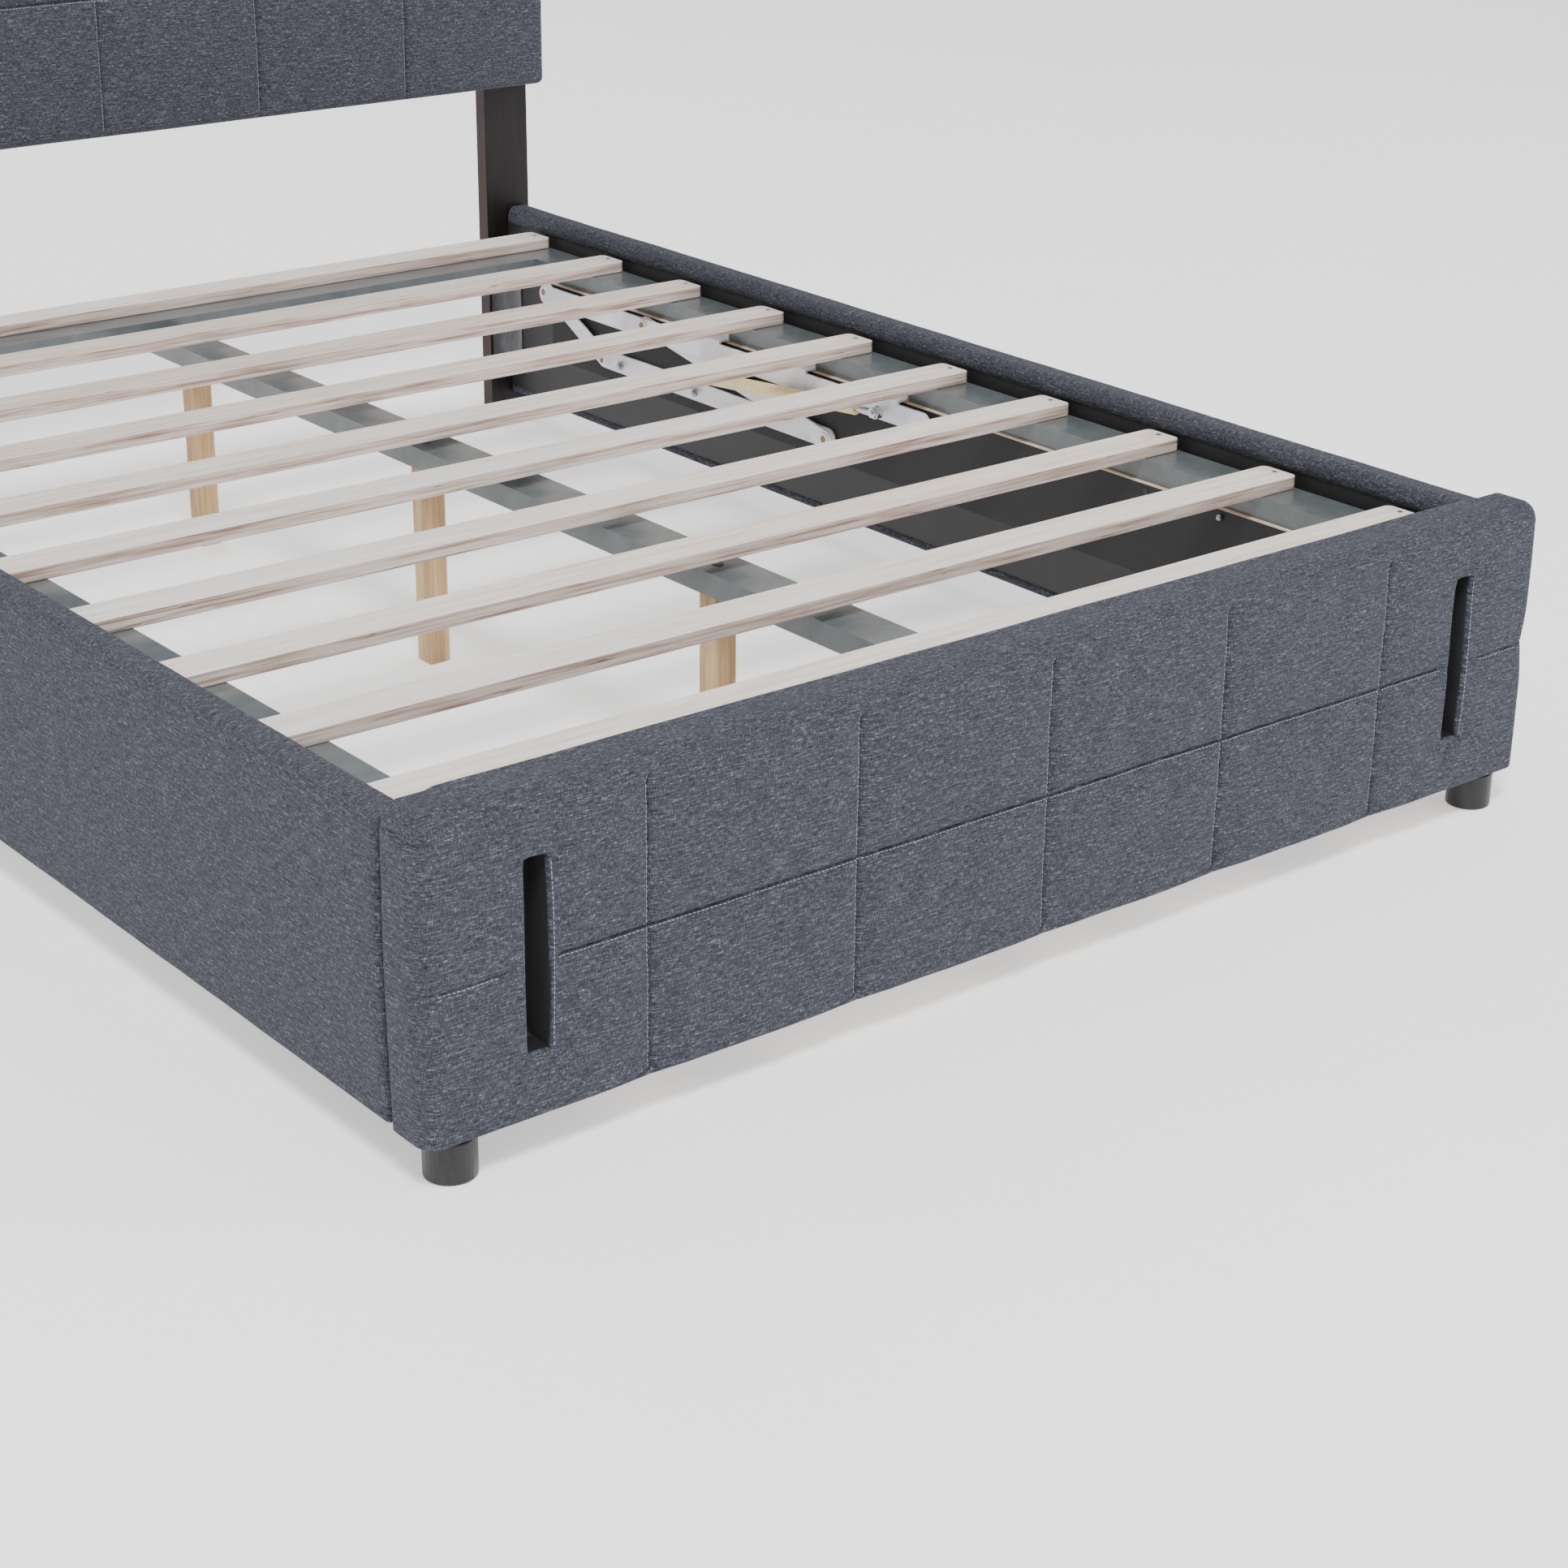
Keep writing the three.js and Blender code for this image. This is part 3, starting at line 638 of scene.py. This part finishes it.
def footboard():
    low, high = corners("footboard_cover")
    liner_low, liner_high = corners("slot_liner_right")
    rail_low, _ = corners("side_rail_cover_right")
    half = high[0]
    middle_height, pleat_drop, seam_drop = 0.169, 0.029, 0.020
    roll_drop, roll_spread, roll_swell = 0.024, 0.026, 17 * MM
    panel_top, panel_blend = 0.060, 0.002  # the cloth-faced panel ends this far below the top
    back = rail_low[1] - 0.3 * MM
    top = high[2]
    seams = [half * k / 3 for k in (-2, -1, 0, 1, 2)]
    middle = low[2] + middle_height
    pleat = top - pleat_drop
    slot_x = (liner_low[0] + liner_high[0]) / 2
    slot_half = 0.013
    slot_edges = (liner_low[2] + 1 * MM, liner_high[2] - 4 * MM)
    seam_top = top - seam_drop
    roll_half = rail_low[0] - 6 * MM
    run = slot_edges[1] - slot_edges[0]

    def rule(points, out):
        x, y, z = points.T
        front = smooth_step(-out[:, 1], 0.15, 0.8)
        fade = 1 - smooth_step(z, seam_top - 0.010, seam_top + 0.010)
        upright = creases(x, seams, UPRIGHT_FOLD, UPRIGHT_HOLLOW) * fade
        level = creases(z, [middle], LEVEL_FOLD, 4.8 * MM)
        level *= smooth_step(np.abs(np.abs(x) - slot_x), 0.012, 0.034)
        level *= np.where(np.abs(x) > slot_x, 0.5 + 0.3 * (x > 0), 1.0)
        near = np.maximum(
            np.exp(-np.min(np.abs(x[:, None] - np.array(seams)), axis=1) / 0.014) * fade,
            np.exp(-np.abs(z - middle) / 0.014),
        )
        depth = np.maximum(upright, level) * front
        depth += near * PUCKER * ripple(points, 70, 1) * front
        behind = smooth_step(out[:, 1], 0.5, 0.9)
        depth += 1.1 * MM * ripple(points, 11, 2) * (0.3 + front) * (1 - behind)
        for side in (-1, 1):
            close = np.abs(x - side * slot_x) < 0.07
            pull = slot_pull(x, z, (side * slot_x, slot_half), slot_edges)
            depth = np.where(close & (out[:, 1] < -0.5), depth + pull, depth)
        end = smooth_step(np.abs(out[:, 0]), 0.5, 0.9)
        depth += 4.0 * MM * np.exp(-np.abs(z - pleat - (y - low[1]) * 0.12) / (2.0 * MM)) * end
        # below the roll the back is left to the cloth-faced panel, which stands a little proud
        sunk = behind * (1 - smooth_step(z, top - panel_top - panel_blend, top - panel_top + panel_blend))
        depth += sunk * (1 - smooth_step(np.abs(x), roll_half - 0.003, roll_half + 0.003)) * 2.5 * MM
        move = -out * depth[:, None]
        # each slot's inner edge bows out a little, the way cut cloth pulls
        for side in (-1, 1):
            off = x - side * slot_x
            bow = 3.0 * MM * np.sin(np.pi * np.clip((z - slot_edges[0]) / run, 0, 1))
            bow *= smooth_step(off, -slot_half, slot_half)
            bow *= np.exp(-((np.maximum(off - slot_half, 0) / 0.03) ** 2))
            bow *= 1 - smooth_step(depth, 0.010, 0.016)
            move[:, 0] += bow * (np.abs(off) < 0.09) * (out[:, 1] < -0.5)
        # the soft roll that swells over the back edge between the side rails
        rise = np.exp(-(((z - (top - roll_drop)) / roll_spread) ** 2))
        rise *= 1 - smooth_step(np.abs(x), roll_half - 0.014, roll_half)
        move[:, 1] += rise * np.clip(out[:, 1], 0, 1) * roll_swell
        move[:, 2] += 1.6 * MM * ripple(points, 7, 3) * np.clip(out[:, 2], 0, 1)
        # the ends are gently crowned
        tall = np.clip((z - low[2]) / (top - low[2]) - 0.5, -0.5, 0.5)
        crown = np.clip(np.abs(out[:, 0]), 0, 1) * np.cos(np.pi * tall)
        move[:, 0] += np.sign(out[:, 0]) * crown * 2.5 * MM
        return move

    rounds = ((0.019, 0.019), (0.024, 0.010), (0.006, 0.024))
    pad = Pad((low[0], low[1], low[2]), (high[0], back, top), rounds, rule)
    lips = (0.0, 0.8 * MM, 2 * MM, 3.4 * MM, 4.8 * MM, 6.2 * MM, 9 * MM, 12 * MM, 16 * MM, 21 * MM, 27 * MM)
    sinks = (-0.3 * MM, -0.6 * MM, -0.9 * MM)
    slot_xs = [s * slot_x + e * (slot_half + o) for s in (-1, 1) for e in (-1, 1) for o in (*lips, *sinks)]
    slot_zs = [slot_edges[0] - o for o in (*lips, *sinks)] + [slot_edges[1] + o for o in (*lips, *sinks)]
    xs = lines_between(low[0], high[0], CELL, *rounds[0], seams, SEAM_OFFSETS, slot_xs)
    zs = lines_between(low[2], top, 7.5 * MM, *rounds[2], [middle, pleat], SEAM_OFFSETS, slot_zs)
    ys = lines_between(low[1], back, 6 * MM, *rounds[1])
    cover = pad.mesh("footboard_upholstery", xs, ys, zs)
    cover.data.materials.append(LINEN)
    cover.data.materials.append(CLOTH)
    dark = []
    for face in cover.data.polygons:
        x, y, z = face.center
        in_slot = abs(abs(x) - slot_x) < slot_half + 4 * MM and slot_edges[0] < z < slot_edges[1]
        # faces deeper than 7.5 mm inside each slot take the black cloth: partly the pocket's black lining,
        # partly painted shade for the slot's shadowed inside
        pocket = in_slot and low[1] + 0.0075 < y < back - 0.01
        lined = face.normal.y > 0.6 and z < top - panel_top + panel_blend and y > back - 0.005
        dark.append(1 if pocket or lined else 0)
    cover.data.polygons.foreach_set("material_index", dark)
    keep(cover, "footboard_upholstery", LINEN, "bed_frame")
    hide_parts("footboard_cover", "slot_liner_left", "slot_liner_right")

    front = low[1]
    beside = STITCH["beside"]
    runs = [((x - beside, front, low[2] + 0.010), (x - beside, front, seam_top)) for x in seams]
    stop_x = slot_x - slot_half - 0.010
    runs.append(((-stop_x, front, middle - beside), (stop_x, front, middle - beside)))
    for side in (-1, 1):
        outer = sorted((side * (slot_x + 0.045), side * (half - 0.02)))
        runs.append(((outer[0], front, middle - beside), (outer[1], front, middle - beside)))
        edge = side * slot_x + slot_half + 3.4 * MM
        runs.append(((edge, front, slot_edges[0] + 2 * MM), (edge, front, slot_edges[1] - 2 * MM)))
    stitch_rows("footboard_stitching", pad, runs)


def headboard():
    low, high = corners("headboard_cover")
    half = high[0]
    seams = [half * k / 3 for k in (-2, -1, 0, 1, 2)]
    row = (high[2] - low[2]) / 3
    levels = [low[2] + row, low[2] + 2 * row]

    def rule(points, out):
        x, _, z = points.T
        front = np.clip(-out[:, 1], 0, 1)
        edge = np.minimum(np.minimum(half - np.abs(x), z - low[2]), high[2] - z)
        upright = creases(x, seams, UPRIGHT_FOLD, UPRIGHT_HOLLOW)
        level = creases(z, levels, LEVEL_FOLD, 4.6 * MM)
        near = np.maximum(
            np.exp(-np.min(np.abs(x[:, None] - np.array(seams)), axis=1) / 0.016),
            np.exp(-np.min(np.abs(z[:, None] - np.array(levels)), axis=1) / 0.016),
        )
        depth = np.maximum(upright, level) * front
        depth += near * PUCKER * ripple(points, 70, 4) * front
        depth += 0.8 * MM * ripple(points, 11, 5) * (0.3 + front)
        depth += 2.5 * MM * np.exp(-edge / 0.03) * front
        recess = np.clip(out[:, 1], 0, 1) * smooth_step(edge, 0.021, 0.023) * 3 * MM
        return -out * (depth + recess)[:, None]

    rounds = ((0.012, 0.012), (0.016, 0.006), (0.012, 0.012))
    pad = Pad(low, high, rounds, rule)
    xs = lines_between(low[0], high[0], 8.5 * MM, *rounds[0], seams, SEAM_OFFSETS)
    zs = lines_between(low[2], high[2], 8.5 * MM, *rounds[2], levels, SEAM_OFFSETS)
    ys = lines_between(low[1], high[1], 7 * MM, *rounds[1])
    cover = pad.mesh("headboard_upholstery", xs, ys, zs)
    keep(cover, "headboard_upholstery", LINEN, "bed_frame")
    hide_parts("headboard_cover")
    front = low[1]
    beside = STITCH["beside"]
    runs = [((x - beside, front, low[2] + 0.01), (x - beside, front, high[2] - 0.01)) for x in seams]
    runs += [((low[0] + 0.01, front, z - beside), (high[0] - 0.01, front, z - beside)) for z in levels]
    stitch_rows("headboard_stitching", pad, runs)


def side_rails():
    low, high = corners("side_rail_cover_right")
    flap_low = high[2] - FLAP
    hem_start, hem_end = 0.013, 0.0145  # where the turned-in cloth steps back at the bottom

    def rule(points, out):
        z = points[:, 2]
        outward = np.clip(out[:, 0], 0, 1)
        inward = np.clip(-out[:, 0], 0, 1)
        height = np.clip((z - low[2]) / (high[2] - low[2]), 0, 1)
        depth = 0.7 * MM * ripple(points, 5, 6) + 0.35 * MM * ripple(points, 17, 7)
        depth -= outward * 2.2 * MM * np.sin(np.pi * height)
        depth = np.where(np.abs(out[:, 1]) > 0.5, 0, depth)
        behind = inward * smooth_step(z, low[2] + hem_start, low[2] + hem_end)
        behind *= 1 - smooth_step(z, flap_low - 0.8 * MM, flap_low + 0.8 * MM)
        depth += behind * 3.0 * MM
        return -out * depth[:, None]

    # the cloth laps over the board's two ends
    low[1] -= 0.2 * MM
    high[1] += 0.2 * MM
    rounds = ((0.012, 0.015), (0.004, 0.004), (0.004, 0.016))
    pad = Pad(low, high, rounds, rule)
    xs = lines_between(low[0], high[0], 7 * MM, *rounds[0])
    ys = lines_between(low[1], high[1], 14 * MM, *rounds[1])
    hem = [low[2] + h for h in (hem_start, 0.0138, hem_end)]
    flap = [flap_low + h for h in (-0.8 * MM, 0, 0.8 * MM)]
    zs = lines_between(low[2], high[2], 13 * MM, *rounds[2], extra=hem + flap)
    right = pad.mesh("side_rail_upholstery_right", xs, ys, zs)
    right.data.materials.append(LINEN)
    left = twin(right, mirror=True)
    for piece, word in ((right, "right"), (left, "left")):
        keep(piece, f"side_rail_upholstery_{word}", LINEN, "bed_frame")
        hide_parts(f"side_rail_cover_{word}")


# ---------------------------------------------------------------- small hardware
def cylinder(sides, radius, height):
    """An upright cylinder that stands on the origin."""
    deselect()
    middle = (0, 0, height / 2)
    bpy.ops.mesh.primitive_cylinder_add(vertices=sides, radius=radius, depth=height, location=middle)
    piece = bpy.context.object
    settle(piece)
    return piece


def set_in(piece, place, facing):
    """Lays an upright piece on its side, facing along x, and puts it in its place."""
    piece.rotation_euler = (0, facing * math.pi / 2, 0)
    piece.location = place
    settle(piece)
    return piece


def screw_head(radius, height):
    """A low domed head with a round recess, standing on the origin."""
    head = cylinder(20, radius, height)
    bpy.ops.object.mode_set(mode="EDIT")
    bpy.ops.mesh.select_mode(type="FACE")
    bpy.ops.mesh.select_all(action="DESELECT")
    bpy.ops.object.mode_set(mode="OBJECT")
    for face in head.data.polygons:
        face.select = face.normal.z > 0.9
    bpy.ops.object.mode_set(mode="EDIT")
    bpy.ops.mesh.bevel(offset=height * 0.6, segments=2)
    bpy.ops.object.mode_set(mode="OBJECT")
    for face in head.data.polygons:
        face.select = face.normal.z > 0.9 and face.area > radius * radius * 0.3
    bpy.ops.object.mode_set(mode="EDIT")
    bpy.ops.mesh.inset(thickness=radius * 0.35, depth=0)
    bpy.ops.mesh.extrude_region_move(TRANSFORM_OT_translate={"value": (0, 0, -height * 0.45)})
    bpy.ops.object.mode_set(mode="OBJECT")
    return head


def slat_screws():
    seed = screw_head(3.4 * MM, 1.1 * MM)
    heads = []
    for i in range(1, SLAT_COUNT + 1):
        low, high = corners(f"slat_{i}")
        middle = (low[1] + high[1]) / 2
        for x in (low[0] + SLAT_SCREW_INSET, high[0] - SLAT_SCREW_INSET):
            heads.append(twin(seed, (x, middle, high[2] - 0.35 * MM)))
    bpy.data.objects.remove(seed)
    keep(merge(heads), "slat_screws", STEEL, "platform")


def beam_bolts():
    _, beam_high = corners("centre_beam")
    seed = screw_head(7.5 * MM, 3.2 * MM)
    heads = []
    for i in range(1, LEG_COUNT + 1):
        low, high = corners(f"centre_leg_{i}")
        heads.append(twin(seed, (0, (low[1] + high[1]) / 2, beam_high[2] - 0.1 * MM)))
    bpy.data.objects.remove(seed)
    keep(merge(heads), "beam_bolts", STEEL, "platform")


def hex_nut(radius, height, place, facing):
    """A nut seen end on, with a round bolt end in it, facing the middle of the bed."""
    nut = cylinder(6, radius, height)
    modify(nut, "BEVEL", width=radius * 0.1, segments=2)
    bolt = cylinder(16, radius * 0.52, height * 1.5)
    modify(bolt, "BEVEL", width=radius * 0.08, segments=2)
    return set_in(merge([nut, bolt]), place, facing)


def button(radius, height, place, facing):
    """A round rivet or pin end with an eased rim."""
    rivet = cylinder(24, radius, height)
    modify(rivet, "BEVEL", width=height * 0.45, segments=3)
    return set_in(rivet, place, facing)


def pin(place, facing):
    """The end of a pivot pin, a little proud of the bar's face."""
    return button(5.5 * MM, 1.0 * MM, place, facing)


def mechanism_fasteners():
    rear_low, rear_high = corners("rear_link_right")
    front_low, front_high = corners("front_link_right")
    rod_low, rod_high = corners("strut_rod_right")
    sleeve_low, sleeve_high = corners("strut_cylinder_right")
    base_front = (front_low[1] + HALF_LINK, front_low[2] + HALF_LINK)
    base_rear = (rear_low[1] + HALF_LINK, rear_low[2] + HALF_LINK)
    front_top = (front_high[1] - HALF_LINK, front_high[2] - HALF_LINK)
    rear_top = (rear_high[1] - HALF_LINK, rear_high[2] - HALF_LINK)
    base_face = rear_low[0] - 3.5 * MM + 0.2 * MM
    upper_face = rear_low[0] - 7.5 * MM + 0.2 * MM
    bar_face = rear_high[0] - 2.9 * MM
    strut_face = rod_low[0] + 0.5 * MM
    for side, word in ((1, "right"), (-1, "left")):
        def at(x, spot):
            return (side * x, float(spot[0]), float(spot[1]))

        pins = [pin(at(base_face, spot), -side) for spot in (base_front, base_rear)]
        keep(merge(pins), f"base_pivot_pins_{word}", BRASS, "bed_frame")
        pins = [pin(at(upper_face, spot), -side) for spot in (front_top, rear_top)]
        keep(merge(pins), f"top_pivot_pins_{word}", BRASS, "platform")
        bolts = [
            hex_nut(7.5 * MM, 4.5 * MM, at(bar_face, (base_front[0] + along, base_front[1])), -side)
            for along in BASE_BOLTS
        ]
        keep(merge(bolts), f"base_bolts_{word}", STEEL, "bed_frame")
        spot = (rod_low[1] + EYE, rod_high[2] - EYE)
        nut = hex_nut(8.5 * MM, 6 * MM, at(strut_face, spot), -side)
        keep(nut, f"strut_top_nut_{word}", CHROME, "platform")
        spot = (sleeve_high[1] - EYE, sleeve_low[2] + EYE)
        nut = hex_nut(8.5 * MM, 6 * MM, at(strut_face, spot), -side)
        keep(nut, f"strut_base_nut_{word}", CHROME, "front_links")


def ledger_fasteners():
    low, _ = corners("ledger_board_right")
    foot = corners("footboard_cover")[0][1]
    for side, word in ((1, "right"), (-1, "left")):
        peg = button(4.5 * MM, 7 * MM, (side * low[0], float(foot + LEDGER_PEG[0]), LEDGER_PEG[1]), -side)
        keep(peg, f"ledger_peg_{word}", STEEL, "bed_frame")
        # flat black discs at the holes in the ledger's cloth: painted shade for the holes' dark insides
        holes = [
            button(5.0 * MM, 0.8 * MM, (side * (low[0] + 0.2 * MM), float(foot + y), z), -side)
            for y, z in LEDGER_HOLES
        ]
        keep(merge(holes), f"ledger_hole_shade_discs_{word}", foot_finish, "bed_frame")


def eased(name, width, material, segments=2):
    """A CAD node with its sharp edges eased, in its finished material."""
    node = NODES[name]
    weld = node.modifiers.new("weld", "WELD")
    weld.merge_threshold = 0.00001
    flat = node.modifiers.new("flat", "DECIMATE")
    flat.decimate_type = "DISSOLVE"
    flat.angle_limit = math.radians(1)
    ease = node.modifiers.new("ease", "BEVEL")
    ease.width = width
    ease.segments = segments
    ease.limit_method = "ANGLE"
    ease.angle_limit = math.radians(40)
    painted(name, material)


def painted(name, material):
    node = NODES[name]
    if not node.material_slots:
        node.data.materials.append(material)
    for place in node.material_slots:
        place.material = material


def hardware():
    for i in range(1, SLAT_COUNT + 1):
        eased(f"slat_{i}", 1.4 * MM, slat_finish)
    for name in ("side_tube_left", "side_tube_right", "foot_tube", "head_tube", "centre_beam"):
        painted(name, frame_finish)
    for i in range(1, LEG_COUNT + 1):
        eased(f"centre_leg_{i}", 1.5 * MM, pine_finish)
    for word in ("left", "right"):
        eased(f"headboard_post_{word}", 1.2 * MM, post_finish)
        painted(f"ledger_board_{word}", ledger)
        painted(f"ledger_spacer_{word}", CLOTH)
        painted(f"side_rail_lining_{word}", CLOTH)
        painted(f"side_rail_board_{word}", CLOTH)
        painted(f"footboard_stile_{word}", wood_finish)
        eased(f"foot_{word}", 2.0 * MM, foot_finish)
        for part in ("lift_base_bar", "lift_upper_bar", "rear_link", "front_link"):
            painted(f"{part}_{word}", white_finish)
        painted(f"strut_cylinder_{word}", sleeve_finish)
        painted(f"strut_rod_{word}", CHROME)
        for end in ("foot", "head"):
            painted(f"corner_bracket_{end}_{word}", STEEL)
    for name in ("footboard_front_panel", "footboard_top_rail", "footboard_bottom_rail", "headboard_panel"):
        painted(name, wood_finish)
    for name in ("footboard_back_panel", "headboard_back_board"):
        painted(name, CLOTH)


def floor():
    deselect()
    bpy.ops.mesh.primitive_plane_add(size=FLOOR_SIZE, location=(0, 0, -FLOOR_DROP))
    ground = bpy.context.object
    settle(ground)
    ground.name = "floor"
    f = Finish("floor_paper", 0.95)
    tone = f.noise(2, (1, 1, 1), 2, 0.5)
    f.colour(f.ramp(tone, [stop(0.3, 250, 250, 250), stop(0.7, 253, 253, 253)]))
    f.shader.inputs["Emission Color"].default_value = (1, 1, 1, 1)
    f.shader.inputs["Emission Strength"].default_value = 0.55
    ground.data.materials.append(f.material)


# ---------------------------------------------------------------- the scene
place_camera()
LINEN = linen()
CLOTH = dust_cloth()
THREAD = thread()
STEEL = bright_metal("zinc_plate", (170, 170, 174), 0.3)
BRASS = bright_metal("aged_brass", (150, 118, 82), 0.35)
CHROME = bright_metal("hard_chrome", (225, 225, 230), 0.1)
slat_finish = slat_plywood()
wood_finish = raw_plywood()
ledger = ledger_finish()
pine_finish = leg_pine()
post_finish = stained_plywood()
frame_finish = frame_paint()
white_finish = white_powder()
sleeve_finish = moulded("cream_sleeve", (214, 192, 140), (232, 212, 164), 0.45)
foot_finish = moulded("black_plastic", (13, 13, 15), (24, 24, 27), 0.4)

studio()
floor()
footboard()
headboard()
side_rails()
slat_screws()
beam_bolts()
mechanism_fasteners()
ledger_fasteners()
hardware()
